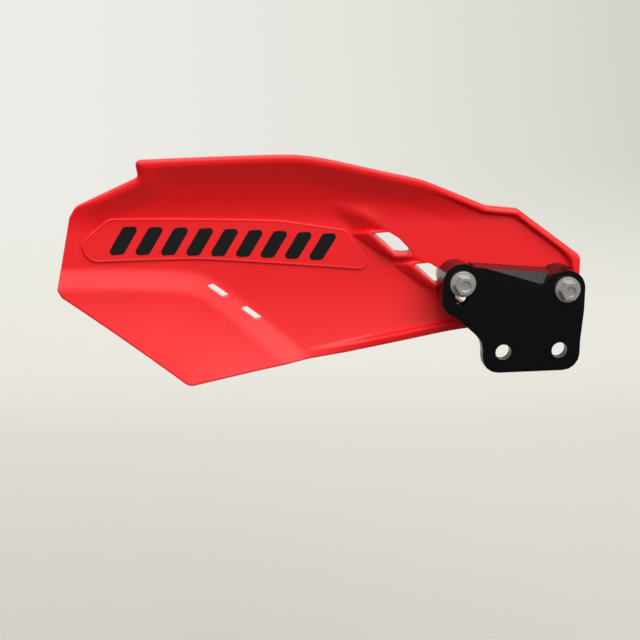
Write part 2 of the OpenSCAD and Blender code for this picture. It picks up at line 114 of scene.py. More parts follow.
class Finishes(bpy.types.PropertyGroup):
    """Colours of the finishes."""

    shield: colour("Shield", "ED1219", "Red of the moulded shield")
    shield_deep: colour("Shield, thick", "DE0F16", "Red where the plastic is thicker")
    ink: colour("Bars", "080809", "Black of the bars on the panel")
    bracket: colour("Bracket", "060607", "Black of the bracket")
    bolt: colour("Bolts", "ABA8A6", "Grey of the bolts")
    steel: colour("Steel", "C4C3C2", "Bright steel of nuts, washers and bushes")
    floor: colour("Floor", "EEEDE8", "Pale backdrop, and the light of the room")
    # painted shade: the floor's tone under the guard, darker than where it rises
    floor_near_painted_shade: colour("Floor, near", "BCBAB6", "Floor under the guard")
    floor_far: colour("Floor, far", "D5D4CF", "Floor where it rises into the backdrop")
    # painted shade: the backdrop's tone toward the inboard side, darker than its own
    backdrop_painted_shade_inboard: colour("Backdrop, inboard", "D5D4CA", "Backdrop toward the inboard side")
    floor_shade: colour("Floor, shaded", "7C7C79", "Floor near the guard, as it lights the guard")


class Studio(bpy.types.PropertyGroup):
    """Camera and light."""

    lens: number("Lens", 71.9, "Focal length of the camera, in mm")
    eye: vector("Camera", (-0.1576, -0.492, 0.150), "Place of the camera", subtype="TRANSLATION")
    look: vector("View direction", (0.134, 0.956, -0.259), "Direction of view", subtype="DIRECTION")
    low: number("Room light, low", 0.06, "Light of the room below the horizon")
    high: number("Room light, high", 0.92, "Light of the room overhead")
    key: number("Key light", 31, "Power of the softbox above the camera, in W")
    top: number("Top light", 3, "Power of the softbox overhead, in W")


# Form of the shield's rider-side face: y over (u, w), in mm from the pivot.
RAMP = ((-93.0, 31.0), (-61.0, 3.0))  # line along the slope up to the seat
RAMP_LEAD = 1.5  # the slope starts this far outboard of its line
SEAT_FROM, SEAT_RUN = -98.0, 29.0  # the slope up to the seat at the visor
UNDER_VISOR, VISOR_RUN = 7.5, 10.0  # from this far below the crease, one slope turns into the other
FACET = ((-147.5, 8.0), (-117.0, -20.0))  # upper edge of the lower facet, along the two slots
BAND_SLOPE = 0.08  # slope of that edge outboard of the slots
FACET_TURN = 5.0  # rounding between its two stretches
BAND_FROM, BAND_TO, BAND_ROUND = -1.0, 7.0, 1.3  # band at the edge that takes half of the facet's step
SPREAD_FROM, SPREAD_RUN = 1.0, 36.0  # stretch below the edge that takes the other half
CREASE = 7.0  # reach of the bend under the visor
BOWL_UP, BOWL_BEND = 6.0, 6.0  # top of the bowl, and reach of the bend into it
INNER_FLAT = 1500.0  # plan radius between the crown and the seat

# The lip, in mm: where it grows, and its section over the distance from the edge.
TOP_LIP_FROM, TOP_LIP_RUN = 7.0, 14.0  # top lip, from the tip
LOW_LIP_FROM, LOW_LIP_RUN = -110.0, 45.0  # lower lip, from the pivot
NARROW_FROM, NARROW_RUN = -62.0, 30.0  # the top lip's wide roll turns into a narrow one
WIDE_SHARE, WIDE_FLAT, WIDE_RUN, WIDE_POWER = 0.75, 3.0, 9.0, 1.2  # the wide roll
NARROW_FLAT = 2.2  # width of the narrow roll's top
STRIP_RISE, STRIP_W, STRIP_RUN = 0.4, 3.3, 1.5  # the lower lip, highest along its inner side
TOP_RIM, LOW_RIM, RIM_STRETCH = 1.15, 0.35, 1.1  # more rounding of a rim that has a lip


def sizes():
    """The shield's lengths in mm, with its angle and its number of bars."""
    group = bpy.context.scene.guard_shield
    values = {name: getattr(group, name) for name in ShieldSizes.__annotations__}
    return {name: v if name in ("visor_lean", "bars") else v / MM for name, v in values.items()}


def smooth(t):
    """0 up to 0, 1 from 1, and a smooth rise between."""
    t = np.clip(t, 0, 1)
    return t * t * (3 - 2 * t)


def soft(d, r):
    """The part of d above 0, with its corner rounded over r on both sides."""
    return np.where(d <= -r, 0, np.where(d >= r, d, (d + r) ** 2 / 4 / r))


def soft_min(a, b, r):
    """The smaller of two values, rounded where they cross."""
    return (a + b - np.sqrt((a - b) ** 2 + r * r)) / 2


def side(u, w, line):
    """Distance to the left of a line through two points."""
    (a0, a1), (b0, b1) = line
    return ((w - a1) * (b0 - a0) - (u - a0) * (b1 - a1)) / math.hypot(b0 - a0, b1 - a1)


def form(u, w, s):
    """y of the rider-side face, without its lip."""
    d = u + s["crown_out"]
    plan = s["seat_y"] + s["belly"] - d * d / 2 / np.where(d < 0, s["wrap_r"], INNER_FLAT)
    up = smooth((w - s["visor_up"] + UNDER_VISOR) / VISOR_RUN)
    ramp = smooth((side(u, w, RAMP) + RAMP_LEAD) / s["ramp_w"])
    seat = ramp * (1 - up) + smooth((u - SEAT_FROM) / SEAT_RUN) * up
    level_edge = FACET[0][1] - BAND_SLOPE * (u - FACET[0][0]) - w
    fall = soft_min(level_edge, -side(u, w, FACET), FACET_TURN)
    band = (soft(fall - BAND_FROM, BAND_ROUND) - soft(fall - BAND_TO, BAND_ROUND)) / (BAND_TO - BAND_FROM)
    return (
        plan * (1 - seat)
        + s["seat_y"] * seat
        - math.tan(s["visor_lean"]) * soft(w - s["visor_up"], CREASE)
        - soft(BOWL_UP - w, BOWL_BEND) ** 2 / 2 / s["bowl_r"] * (1 - seat)
        - s["facet_step"] * (band / 2 + smooth((fall - SPREAD_FROM) / SPREAD_RUN) / 2)
    )


TURN_STEP = 9  # degrees of a rounded corner between two points


def unit(rows):
    """Each row as a direction of length 1."""
    return rows / np.linalg.norm(rows, axis=-1, keepdims=True)


def fillet(points, closed=True):
    """The path through [u, w, radius] points with its corners rounded."""
    out, n = [], len(points)
    for i, p in enumerate(points):
        if p[2] == 0 or (not closed and i in (0, n - 1)):
            out.append(p[:2])
            continue
        a, q, b = (np.array(points[k % n][:2], float) for k in (i - 1, i, i + 1))
        e, f = unit(a - q), unit(b - q)
        half = math.acos(max(-1, min(1, float(e @ f)))) / 2
        middle = q + unit(e + f) * p[2] / math.sin(half)
        start, end = q + e * p[2] / math.tan(half) - middle, q + f * p[2] / math.tan(half) - middle
        turn = math.atan2(start[0] * end[1] - start[1] * end[0], float(start @ end))
        first = math.atan2(start[1], start[0])
        steps = max(3, math.ceil(abs(math.degrees(turn)) / TURN_STEP))
        for k in range(steps + 1):
            angle = first + turn * k / steps
            out.append(middle + p[2] * np.array([math.cos(angle), math.sin(angle)]))
    return np.array(out, float)


def lengths(path):
    """Length along a path at each of its points."""
    return np.concatenate([[0], np.cumsum(np.linalg.norm(np.diff(path, axis=0), axis=1))])


def along(path, run, s):
    """Points at given lengths along a path."""
    return np.stack([np.interp(s, run, path[:, 0]), np.interp(s, run, path[:, 1])], -1)


def nearest(path, run, point, tries=4000):
    """Length at which a path comes nearest to a point."""
    s = np.linspace(0, run[-1], tries)
    return s[np.argmin(np.linalg.norm(along(path, run, s) - np.array(point), axis=1))]


def edges(s):
    """The shield's two long edges, both from the outer end to the inboard end."""
    tip, end, top = -s["tip"], s["inboard"], s["top"]
    notch, notch_up = -s["notch_out"], s["notch_up"]
    upper = [
        [tip + 5.9, s["corner_up"] - 3.4, 0], [tip + 8.4, s["corner_up"] + 0.9, 5],
        [notch - 0.1, notch_up - 0.2, 1.6], [notch - 1.2, top - 0.2, 2],
        [-108, top, 80], [-60, top - 10.8, 60],
        [-31.5, 33, 8], [-18, 31.4, 2.5],
        [end - 1, 11.4, 1], [end, 9.6, 0],
    ]
    lower = [
        [tip, 5.4, 0], [tip + 1.7, 2.2, 1.5],
        [-s["corner_out"], -s["drop"], 5], [-90, -28.3, 100],
        [-45, -20.4, 40], [-4, -15.5, 10],
        [end - 2.5, -8.5, 2], [end, -5, 0],
    ]
    return fillet(upper, closed=False), fillet(lower, closed=False)


# The shield's mesh, in mm: rows close together along the edges, for the lip, and even ones between them.
EDGE_ROWS = np.array([
    0, 0.05, 0.14, 0.28, 0.46, 0.7, 1, 1.3, 1.6, 1.95, 2.4, 2.9, 3.3, 3.65, 4, 4.4, 4.8, 5.5,
])
END_COLUMNS = EDGE_ROWS[:9]
COLUMN_STEP, ROW_STEP, LEAST_COLUMN = 1.35, 1.35, 0.045
NARROW_SHIELD = 24.0  # where the shield is lower than this, the rows along its edges draw together
LEAST_LEAN, LEAN_REACH = 0.45, 8  # of a column against the edge, and the columns on each side that share it
AHEAD = 3.0  # the edge's direction is taken over this length on each side


def column_stations(run_up, low_bends):
    """Lengths along the top edge where the grid has a column: at each bend, and closer at both ends."""
    knots = sorted([*run_up, *low_bends, *END_COLUMNS, *(run_up[-1] - END_COLUMNS)])
    kept = knots[:1]
    for k in knots[1:]:
        if k - kept[-1] > LEAST_COLUMN:
            kept.append(k)
    stations = []
    for a, b in zip(kept, kept[1:]):
        n = max(1, round((b - a) / COLUMN_STEP))
        stations += [a + (b - a) * i / n for i in range(n)]
    return np.array([*stations, kept[-1]])


def shield_grid(s):
    """(u, w) of the shield's grid, [column, row], with columns that lean so that none crosses the notch."""
    upper, lower = edges(s)
    run_up, run_low = lengths(upper), lengths(lower)
    notch, top = -s["notch_out"], s["top"]
    links = [
        ([-s["tip"] + 9, s["corner_up"] + 1], [-s["tip"] + 4, 0]),
        ([notch - 0.1, s["notch_up"] - 0.2], [-150, -38]),
        ([notch - 1.2, top - 0.2], [-136, -36]),
        ([-108, top], [-86, -28]),
        ([-60, top - 12], [-55, -22]),
        ([-31.5, 33], [-30, -19]),
        ([-18, 31.4], [-14, -17]),
    ]
    ups = [0, *(nearest(upper, run_up, a) for a, _ in links), run_up[-1]]
    lows = [0, *(nearest(lower, run_low, b) for _, b in links), run_low[-1]]
    stations = column_stations(run_up, np.interp(run_low, lows, ups))
    high, low = along(upper, run_up, stations), along(lower, run_low, np.interp(stations, ups, lows))
    behind, ahead = (along(upper, run_up, np.clip(stations + d, 0, run_up[-1])) for d in (-AHEAD, AHEAD))
    edge = unit(ahead - behind)
    tall = np.linalg.norm(high - low, axis=1)[:, None]
    way = (high - low) / tall
    lean = np.maximum(LEAST_LEAN, np.abs(edge[:, 0] * way[:, 1] - edge[:, 1] * way[:, 0]))
    window = np.ones(2 * LEAN_REACH + 1)
    lean = np.convolve(np.pad(lean, LEAN_REACH, mode="edge"), window / window.sum(), "valid")
    share = np.minimum(1, tall / NARROW_SHIELD)
    near_low, near_up = EDGE_ROWS * share, EDGE_ROWS * (share / lean[:, None])
    f = np.linspace(0, 1, int(tall.max() / ROW_STEP) + 2)[1:-1]
    first, last = near_low[:, -1:], tall - near_up[:, -1:]
    rows = np.concatenate([near_low, first + (last - first) * f, (tall - near_up)[:, ::-1]], 1)
    return low[:, None] + way[:, None] * rows[..., None], upper, lower


NOTCH_SPLIT = 0.2  # the edges outboard and inboard of the notch part this far inboard of it
NOTCH_SOFT = 2.5  # how soft the inner corner between them is
FAR = 1e3  # more than any distance on the shield, in mm


def edge_distance(points, upper, lower, s):
    """Distance to the outline, plain and softened at the notch, and whether the lower edge is nearest."""
    ring = np.concatenate([upper, lower[::-1], upper[:1]])
    inboard = (upper[1:, 0] + upper[:-1, 0]) / 2 > NOTCH_SPLIT - s["notch_out"]
    group = np.concatenate([inboard, np.zeros(len(lower) + 1, bool)]).astype(int)
    is_low = np.concatenate([np.zeros(len(upper)), np.ones(len(lower) - 1), [0]]) > 0
    best, low = np.full((2, len(points)), FAR), np.zeros((2, len(points)), bool)
    for a, b, g, k in zip(ring, ring[1:], group, is_low):
        d = b - a
        t = np.clip(((points - a) @ d) / (d @ d), 0, 1)
        gap = np.linalg.norm(points - a - t[:, None] * d, axis=1)
        closer = gap < best[g]
        best[g][closer], low[g][closer] = gap[closer], k
    soft_gap = -NOTCH_SOFT * np.log(np.exp(-best[0] / NOTCH_SOFT) + np.exp(-best[1] / NOTCH_SOFT))
    return best.min(0), soft_gap, np.where(best[0] < best[1], low[0], low[1])


def rounded(gap, r):
    """How far a rim of radius r falls back at a distance from the edge."""
    return r - np.sqrt(np.maximum(0, r**2 - np.maximum(0, r - gap) ** 2))


def shield_faces(flat, upper, lower, s):
    """y of the rider-side face and of the outer face at the grid's points, with lip and rims."""
    u, w = flat.T
    gap, soft_gap, low = edge_distance(flat, upper, lower, s)
    top_lip = smooth((u + s["tip"] - TOP_LIP_FROM) / TOP_LIP_RUN)
    lip = np.where(low, smooth((u - LOW_LIP_FROM) / LOW_LIP_RUN), top_lip)
    tight = smooth((u - NARROW_FROM) / NARROW_RUN)
    wide = WIDE_SHARE * (1 - np.clip((soft_gap - WIDE_FLAT) / WIDE_RUN, 0, 1)) ** WIDE_POWER
    narrow = 1 - smooth((soft_gap - NARROW_FLAT) / (s["lip_w"] - NARROW_FLAT))
    rise = 1 - STRIP_RISE + STRIP_RISE * smooth(gap / STRIP_W)
    strip = rise * (1 - smooth((gap - STRIP_W) / STRIP_RUN))
    bead = s["lip_h"] * lip * np.where(low, strip, wide + (narrow - wide) * tight)
    inner_rim = s["rim_r"] + lip * np.where(low, LOW_RIM, TOP_RIM)
    stretch = 1 + lip * np.where(low, 0, RIM_STRETCH * (1 - tight))
    base = form(u, w, s)
    return base - bead + rounded(gap / stretch, inner_rim), base + s["wall"] - rounded(gap, s["rim_r"])


def at_pivot(u, y, w):
    """Points in metres in the frame, from u, y and w in mm at the pivot."""
    u, w = np.asarray(u), np.asarray(w)
    return np.stack([u + PIVOT[0], y + 0 * u, w + PIVOT[1]], -1) * MM


def deselect():
    """Leaves edit mode and selects nothing."""
    if bpy.context.object and bpy.context.object.mode != "OBJECT":
        bpy.ops.object.mode_set(mode="OBJECT")
    bpy.ops.object.select_all(action="DESELECT")


def pick(*pieces):
    """Selects pieces, the last one active."""
    deselect()
    for piece in pieces:
        piece.select_set(True)
        bpy.context.view_layer.objects.active = piece


def edit(piece):
    """Opens a piece in edit mode, with everything selected."""
    pick(piece)
    bpy.ops.object.mode_set(mode="EDIT")
    bpy.ops.mesh.select_all(action="SELECT")


def face_outward():
    """Turns the faces of the open piece outward, and leaves edit mode."""
    bpy.ops.mesh.select_all(action="SELECT")
    bpy.ops.mesh.normals_make_consistent(inside=False)
    bpy.ops.object.mode_set(mode="OBJECT")


def place(piece, points):
    """Moves a piece's points to their places."""
    piece.data.vertices.foreach_set("co", np.asarray(points, np.float32).ravel())
    piece.data.update()


def points_of(piece):
    """The places of a piece's points."""
    co = np.empty(len(piece.data.vertices) * 3, np.float32)
    piece.data.vertices.foreach_get("co", co)
    return co.reshape(-1, 3).astype(float)


def newest(name):
    """Names the piece that an operator has just added."""
    piece = bpy.context.object
    piece.name = piece.data.name = name
    return piece


def add_outline(name, outline):
    """A flat face in the plane y = 0 with the given (u, w) outline, in mm."""
    deselect()
    bpy.ops.mesh.primitive_circle_add(vertices=len(outline), fill_type="NGON")
    piece = newest(name)
    place(piece, [(u, 0, w) for u, w in outline])
    return piece


def draw_out(piece, distance):
    """Extrudes all faces of a flat piece along y."""
    edit(piece)
    bpy.ops.mesh.extrude_region_move(TRANSFORM_OT_translate={"value": (0, distance, 0)})
    face_outward()


def prism(name, near, y0, y1, far=None):
    """A form from the outline near at y0 to the outline far at y1, or straight, in mm at the pivot."""
    near = np.asarray(near, float)
    far = near if far is None else np.asarray(far, float)
    piece = add_outline(name, near)
    draw_out(piece, y1 - y0)
    co = points_of(piece)
    for i, p in enumerate(co):
        if p[1] > (y1 - y0) / 2:
            co[i, [0, 2]] = far[np.argmin(np.linalg.norm(near - p[[0, 2]], axis=1))]
    place(piece, at_pivot(co[:, 0], co[:, 1] + y0, co[:, 2]))
    return piece


def modify(piece, kind, **settings):
    """Applies a modifier with its settings to the picked piece."""
    modifier = piece.modifiers.new(kind, kind)
    for key, value in settings.items():
        setattr(modifier, key, value)
    bpy.ops.object.modifier_apply(modifier=modifier.name)


def combine(piece, operation, other):
    """A boolean of two pieces, which uses up the second."""
    pick(piece)
    modify(piece, "BOOLEAN", operation=operation, object=other, solver="MANIFOLD")
    bpy.data.objects.remove(other)


def carve(piece, operation, cutters):
    """Cuts with, or adds, other pieces, which are made one first and used up."""
    for other in cutters[1:]:
        combine(cutters[0], "UNION", other)
    combine(piece, operation, cutters[0])


def finish(piece, body, material, nodes, angle=35, level=True):
    """Smooth shading that keeps large faces level, material and place in the frame."""
    pick(piece)
    bpy.ops.object.shade_smooth_by_angle(angle=math.radians(angle))
    if level:
        modify(piece, "WEIGHTED_NORMAL", keep_sharp=True, weight=90)
    piece.data.materials.clear()
    piece.data.materials.append(material)
    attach(piece, body)
    if nodes:
        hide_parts(*nodes)


# Outlines with corner radii, in mm from the pivot. Each vent and each slot is repeated at its step.
VENT = [[-79.5, 22.3, 0.8], [-71.8, 22.8, 2], [-67.4, 20, 2], [-60.8, 13, 0.8], [-69, 13, 1]]
VENT_FAR = [[-76.4, 22.2, 0.8], [-71.8, 22.8, 2], [-67.4, 20, 2], [-61.5, 14, 0.8], [-68.4, 14.6, 1]]
VENTS, VENT_STEP = 3, (17.3, -13.5)
SLOT = [[-147.2, 2.3, 0.6], [-144.3, 2.9, 0.6], [-137.2, -2.6, 0.6], [-140.4, -3, 0.6]]
SLOTS, SLOT_STEP = 2, (13.7, -10.2)
FLARE = 0.35  # flare of a vent's rim, outward and deep
FRAME_RIM, FRAME_FOOT = 0.1, 0.5  # a frame's rim in front of the seat, and its foot in front of the crown
FRAME_ROUND, FRAME_CORNER = 0.5, math.radians(20)  # corners sharper than this angle are rounded
SPAN, TILT = 44.35, math.radians(4.8)  # from the pivot to the slot bolt
SLOT_BOLT = (-SPAN * math.cos(TILT), SPAN * math.sin(TILT))
BOSS_R, BOSS_H, BOSS_DRAFT, BUSH_R, WASHER_R = 7.0, 1.5, 0.4, 3.77, 6.5
CLEAR = 30.0  # how far a cutter reaches past a boss
SLOT_CUT = (-10.0, 40.0)  # y of the short slots' cutters


def moved(outline, step, times):
    """An outline with corner radii, moved by a step some times and rounded."""
    return fillet([[u + times * step[0], w + times * step[1], r] for u, w, r in outline])


def disc(u, w, r, n=64):
    """A circle of n points."""
    a = np.arange(n) / n * 2 * math.pi
    return np.stack([u + r * np.cos(a), w + r * np.sin(a)], -1)


def grown(outline, by):
    """A closed outline moved outward by a distance."""
    following = np.roll(outline, -1, 0)
    area = np.sum(outline[:, 0] * following[:, 1] - outline[:, 1] * following[:, 0])
    sides = (following - outline, outline - np.roll(outline, 1, 0))
    normals = unit(sum(unit(np.stack([e[:, 1], -e[:, 0]], -1)) for e in sides))
    return outline + np.sign(area) * by * normals


def vent_frame(s, move):
    """The wall around a vent, with a long slope on its outboard side and a rounded rim."""
    t, slope = s["frame_t"], s["slope_out"]
    (u0, w0), (u1, w1), (u3, w3), (u4, w4) = (VENT[k][:2] for k in (0, 1, 3, 4))
    rim = [
        [u0 - 1.1, w0 + 0.3], [u0 - 0.65 * t, w0 - 0.6 * t], [u4 - 0.4, w4 - t], [u3 + 0.8, w3 - t],
        [u3 + 0.2, w3 + 0.2], [u1, w1 + 1], [u0 - 0.1, w0 + 1.3],
    ]
    foot = [
        [u0 - slope, w0 - 0.7], [u4 - 0.9 * slope, w4 + 0.4], [u4 - 0.6, w4 - 2 * t],
        [u3 + 1.4, w3 - 2 * t], [u3 + 0.2, w3 + 0.2], [u1, w1 + 1.4], [u0 - 1.1, w0 + 2.7],
    ]
    rim, foot = np.array(rim) + move, np.array(foot) + move
    rim_y, foot_y = s["seat_y"] + FRAME_RIM, s["seat_y"] + s["belly"] + FRAME_FOOT
    rings = [at_pivot(ring[:, 0], y, ring[:, 1]) for ring, y in ((rim, rim_y), (foot, foot_y))]
    deselect()
    bpy.ops.mesh.primitive_circle_add(vertices=len(rim) + len(foot), fill_type="NOTHING")
    wall = newest("vent_frame")
    place(wall, np.concatenate(rings))
    edit(wall)
    bpy.ops.mesh.delete(type="EDGE_FACE")
    bpy.ops.mesh.select_all(action="SELECT")
    bpy.ops.mesh.convex_hull()
    bpy.ops.object.mode_set(mode="OBJECT")
    modify(
        wall, "BEVEL", width=FRAME_ROUND * MM, segments=3, limit_method="ANGLE", angle_limit=FRAME_CORNER
    )
    return wall


def moulded_sheet(grid, inner, outer):
    """The closed sheet between two faces over a grid of (u, w)."""
    columns, rows = grid.shape[:2]
    flat = grid.reshape(-1, 2)
    deselect()
    bpy.ops.mesh.primitive_grid_add(x_subdivisions=columns - 1, y_subdivisions=rows - 1, size=1)
    piece = newest("shield_moulding")
    co = points_of(piece)
    i, j = np.rint((co[:, 0] + 0.5) * (columns - 1)), np.rint((co[:, 1] + 0.5) * (rows - 1))
    place(piece, np.stack([i, 0 * i, j], -1))
    draw_out(piece, 1)
    co = points_of(piece)
    index = np.rint(co[:, 0]).astype(int) * rows + np.rint(co[:, 2]).astype(int)
    y = np.where(co[:, 1] > 0.5, outer[index], inner[index])
    place(piece, at_pivot(flat[index, 0], y, flat[index, 1]))
    edit(piece)
    face_outward()
    return piece


def cut_vents(piece, s):
    """Raises a frame around each vent and cuts the vent through, with a flare at its rim."""
    seat, far_y = s["seat_y"], s["seat_y"] + s["belly"] + s["wall"] + 1
    frames, vents, flares = [], [], []
    for k in range(VENTS):
        rim = moved(VENT, VENT_STEP, k)
        frames.append(vent_frame(s, k * np.array(VENT_STEP)))
        vents.append(prism("vent", rim, seat - 1, far_y, moved(VENT_FAR, VENT_STEP, k)))
        flares.append(prism("flare", grown(rim, FLARE), seat - 0.1, seat + FLARE, rim))
    for wall in frames:
        combine(piece, "UNION", wall)
    carve(piece, "DIFFERENCE", vents)
    carve(piece, "DIFFERENCE", flares)


def add_bosses(piece, s):
    """Raises a boss at each bolt, and cuts its bore, its spot face and the two short slots."""
    front_y = s["seat_y"] + s["wall"] + BOSS_H
    bosses, bores, spots = [], [], []
    for u, w in ((0, 0), SLOT_BOLT):
        top = disc(u, w, BOSS_R - BOSS_DRAFT)
        bosses.append(prism("boss", disc(u, w, BOSS_R), s["seat_y"], front_y, top))
        bores.append(prism("bore", disc(u, w, BUSH_R), 0, front_y + CLEAR))
        spots.append(prism("spot", disc(u, w, WASHER_R), front_y, front_y + CLEAR))
    for k in range(SLOTS):
        bores.append(prism("slot", moved(SLOT, SLOT_STEP, k), *SLOT_CUT))
    carve(piece, "UNION", bosses)
    carve(piece, "DIFFERENCE", bores)
    carve(piece, "DIFFERENCE", spots)


class GUARD_OT_shield(bpy.types.Operator):
    """Makes the moulded shield with its lip, vents, slots and bosses"""

    bl_idname = "guard.shield"
    bl_label = "Shield"

    def execute(self, context):
        s = sizes()
        grid, upper, lower = shield_grid(s)
        piece = moulded_sheet(grid, *shield_faces(grid.reshape(-1, 2), upper, lower, s))
        cut_vents(piece, s)
        add_bosses(piece, s)
        finish(piece, "guard", moulded_polypropylene(), ["shield"], level=False)
        return {"FINISHED"}


# The raised panel and its bars, in mm. An edge is a list of insets, each with its width and its rise.
PANEL_EDGE = ((0.08, 0.16), (0.14, 0.12), (0.2, 0.07), (0.3, 0), (0.22, -0.08), (0.25, 0))
PANEL_SINK = 0.6  # how deep the panel's base lies in the sheet
BAR_EDGE = ((0.04, 0.06), (0.08, 0.04))
BAR_FIRST, BAR_LAST = 13.4, 25.0  # first and last bar, from the panel's ends
BAR_UP, BAR_FALL = 23.0, 0.078  # height of the first, and fall per length of the row
BAR_SLANT, BAR_CORNER = 3.4, 1.5
BEND_STEP = 3.0  # strips of a flat piece before it is laid on the sheet
SAME_LEVEL = 1e-4  # faces closer than this are at one level


def panel_outline(s):
    """Outline of the raised panel, with corner radii."""
    out, inn = s["panel_gap"] - s["tip"], -s["panel_in"]
    third, two_thirds = out + 0.39 * (inn - out), out + 0.67 * (inn - out)
    return [
        [out + 2, 15, 6.5], [out, 23.4, 3.5], [out + 11.2, 32.3, 6], [two_thirds, 28.2, 60],
        [inn - 12, 23.6, 3], [inn, 5.8, 3], [two_thirds, 9.7, 100], [third, 13.2, 100],
    ]


def highest_rise(edge):
    """How high an edge gets above the face that it starts from."""
    return sum(max(0, rise) for _, rise in edge)


def soften_top(piece, edge):
    """Insets the rider-side face of a drawn-out piece step by step, for a rounded edge."""
    pick(piece)
    faces = piece.data.polygons
    top_y = min(p.center.y for p in faces)
    on_top = [p.center.y < top_y + SAME_LEVEL for p in faces]
    corners = {v for p, on in zip(faces, on_top) if on for v in p.vertices}
    faces.foreach_set("select", on_top)
    piece.data.edges.foreach_set("select", [False] * len(piece.data.edges))
    piece.data.vertices.foreach_set("select", [v.index in corners for v in piece.data.vertices])
    bpy.ops.object.mode_set(mode="EDIT")
    bpy.ops.mesh.select_mode(type="FACE")
    for width, rise in edge:
        bpy.ops.mesh.inset(thickness=width, depth=rise, use_even_offset=True)
    bpy.ops.object.mode_set(mode="OBJECT")


def slice_and_bend(piece, s):
    """Cuts a flat piece into strips both ways, then lays it on the shield's face."""
    co = points_of(piece)
    edit(piece)
    for axis, normal in ((0, (1, 0, 0)), (2, (0, 0, 1))):
        for v in np.arange(co[:, axis].min() + BEND_STEP, co[:, axis].max(), BEND_STEP):
            bpy.ops.mesh.select_all(action="SELECT")
            bpy.ops.mesh.bisect(plane_co=[float(v) * n for n in normal], plane_no=normal)
    face_outward()
    co = points_of(piece)
    place(piece, at_pivot(co[:, 0], form(co[:, 0], co[:, 2], s) + co[:, 1], co[:, 2]))


def flat_bar(s, k):
    """One bar of the row, still flat, with its rounded edge."""
    out, inn = s["panel_gap"] - s["tip"], -s["panel_in"]
    first, last = out + BAR_FIRST, inn - BAR_LAST
    u = first + (last - first) * k / max(1, s["bars"] - 1)
    w, half = BAR_UP - BAR_FALL * (u - first), s["bar_h"] / 2
    bar = add_outline("bar", fillet([
        [u - BAR_SLANT, w - half, BAR_CORNER], [u - BAR_SLANT + s["bar_w"], w - half, BAR_CORNER],
        [u + BAR_SLANT + s["bar_w"], w + half, BAR_CORNER], [u + BAR_SLANT, w + half, BAR_CORNER],
    ]))
    draw_out(bar, -s["panel_h"] - s["bar_out"] + highest_rise(BAR_EDGE))
    soften_top(bar, BAR_EDGE)
    return bar


class GUARD_OT_panel(bpy.types.Operator):
    """Makes the raised panel and the row of bars on it"""

    bl_idname = "guard.panel"
    bl_label = "Panel and bars"

    def execute(self, context):
        s = sizes()
        panel = add_outline("raised_panel", fillet(panel_outline(s)))
        draw_out(panel, -s["panel_h"] - PANEL_SINK + highest_rise(PANEL_EDGE))
        soften_top(panel, PANEL_EDGE)
        place(panel, points_of(panel) + np.array([0, PANEL_SINK, 0]))
        slice_and_bend(panel, s)
        finish(panel, "guard", moulded_polypropylene(), [], angle=50)

        pick(*[flat_bar(s, k) for k in range(s["bars"])])
        bpy.ops.object.join()
        row = newest("panel_bars")
        slice_and_bend(row, s)
        finish(row, "guard", pad_ink(), ["inlay_bars"], angle=50)
        return {"FINISHED"}


SAME_POINT, SAME_PLANE, SHARP = 2e-6, math.radians(1), math.radians(32)  # in metres, and angles


def refined(node, name, bevel):
    """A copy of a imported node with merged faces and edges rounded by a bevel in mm."""
    piece = bpy.data.objects.new(name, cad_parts[node].data.copy())
    bpy.context.scene.collection.objects.link(piece)
    piece.data.name = name
    edit(piece)
    bpy.ops.mesh.remove_doubles(threshold=SAME_POINT)
    bpy.ops.mesh.dissolve_limited(angle_limit=SAME_PLANE)
    bpy.ops.object.mode_set(mode="OBJECT")
    modify(
        piece, "BEVEL", width=bevel * MM, segments=3, limit_method="ANGLE", angle_limit=SHARP,
        miter_outer="MITER_ARC",
    )
    return piece


class GUARD_OT_bracket(bpy.types.Operator):
    """Makes the moulded bracket with its rounded edges"""

    bl_idname = "guard.bracket"
    bl_label = "Bracket"

    def execute(self, context):
        piece = refined("bracket", "bracket_moulding", bevel=0.4)
        finish(piece, "bracket", gloss_nylon(), ["bracket"], angle=40)
        return {"FINISHED"}


class GUARD_OT_fasteners(bpy.types.Operator):
    """Makes the two bolts, their nuts, washers, bushes and the slot's sleeve"""

    bl_idname = "guard.fasteners"
    bl_label = "Fasteners"

    def execute(self, context):
        grey, bright = coated_steel(), zinc_steel()
        for nodes, bevel, slot, material in (
            (("pivot_bolt", "slot_bolt"), 0.22, "bolt_grey", grey),
            (("pivot_nut", "slot_nut", "pivot_washer", "slot_washer"), 0.12, "bright_steel", bright),
            (("pivot_bush", "slot_bush", "slot_sleeve"), 0.1, "bright_steel", bright),
        ):
            for node in nodes:
                finish(refined(node, node + "_turned", bevel), "guard", material, [node], angle=40)
        return {"FINISHED"}


def add(tree, kind, values=None, links=None, **settings):
    """Adds a node with its settings, socket values and links. A socket goes by its name or its number."""
    made = tree.nodes.new(kind)
    for key, value in settings.items():
        setattr(made, key, value)
    sockets = dict(enumerate(made.inputs)) | {s.name: s for s in reversed(made.inputs) if s.enabled}
    for key, value in (values or {}).items():
        sockets[key].default_value = value
    for key, source in (links or {}).items():
        tree.links.new(source, sockets[key])
    return made


def result(made):
    """The output of a node that mixes."""
    return next(s for s in made.outputs if s.enabled)


def start(name):
    """A new material with its node tree, its shader and Object coordinates."""
    material = bpy.data.materials.new(name)
    material.use_nodes = True
    tree = material.node_tree
    shader = tree.nodes["Principled BSDF"]
    return material, tree, shader, add(tree, "ShaderNodeTexCoord").outputs["Object"]


